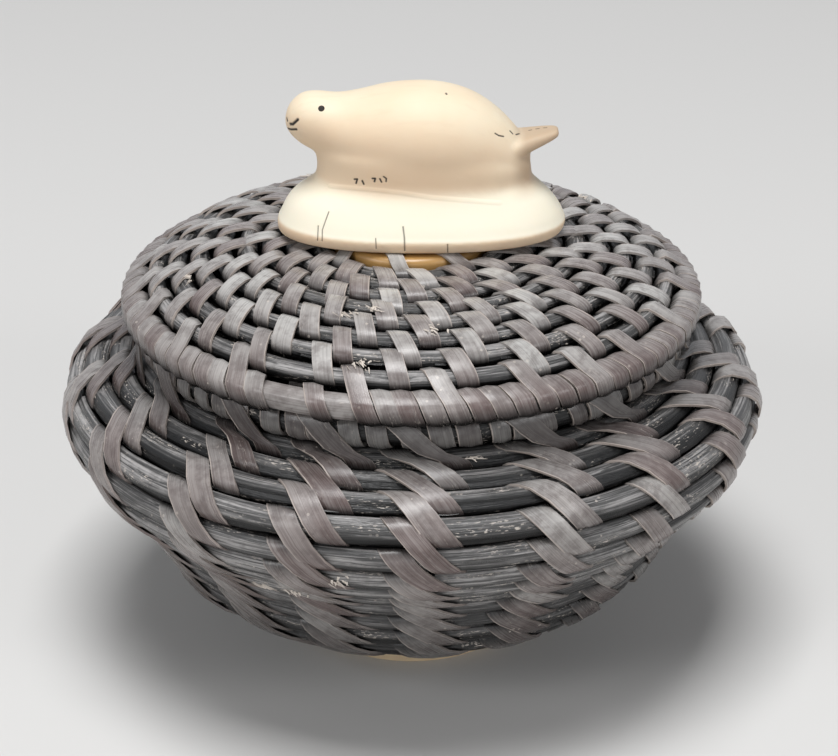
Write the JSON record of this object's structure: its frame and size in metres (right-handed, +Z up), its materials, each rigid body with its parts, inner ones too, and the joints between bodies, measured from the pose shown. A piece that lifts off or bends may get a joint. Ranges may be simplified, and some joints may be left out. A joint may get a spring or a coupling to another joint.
{
  "type": "coiled baleen basket",
  "caption": "Round coiled basket with a wide shoulder, ivory starting discs and a lift-off domed lid with a carved seal as its handle.",
  "frame": {"origin": "centre of the underside of the base disc, on the surface that the basket stands on", "axes": "+Z up along the basket's axis, the seal's nose points to -X and its tail to +X, and -Y is the pictured side"},
  "size_m": [0.0906, 0.0905, 0.0746],
  "materials": {
    "ivory": "hand-rubbed cream walrus ivory with beige shading and fine age cracks",
    "amber_ivory": "aged amber-coloured ivory, polished",
    "baleen_rod": "dark grey baleen rod with lengthwise fibres",
    "baleen_splint": "shaved brown-black baleen splint with pale edges, satin",
    "eye_inlay": "polished black baleen plug"
  },
  "bodies": {
    "body": {"base_disc": "ivory", "base_rod": "baleen_rod", "bowl_rod": "baleen_rod", "belly_rod": "baleen_rod", "shoulder_rod": "baleen_rod", "body_rim_hoop": "baleen_rod", "body_lashing": "baleen_splint"},
    "lid": {"lid_disc": "amber_ivory", "lid_inner_rod": "baleen_rod", "lid_outer_rod": "baleen_rod", "lid_rim_hoop": "baleen_rod", "lid_lashing": "baleen_splint", "flange_rod": "baleen_rod", "finial_peg": "ivory", "seal_finial": "ivory", "near_eye": "eye_inlay", "far_eye": "eye_inlay"}
  },
  "joints": [
    {"name": "lid_lift", "type": "slide", "parent": "body", "child": "lid", "axis": [0, 0, 1], "range_m": [0, 0.06]}
  ]
}
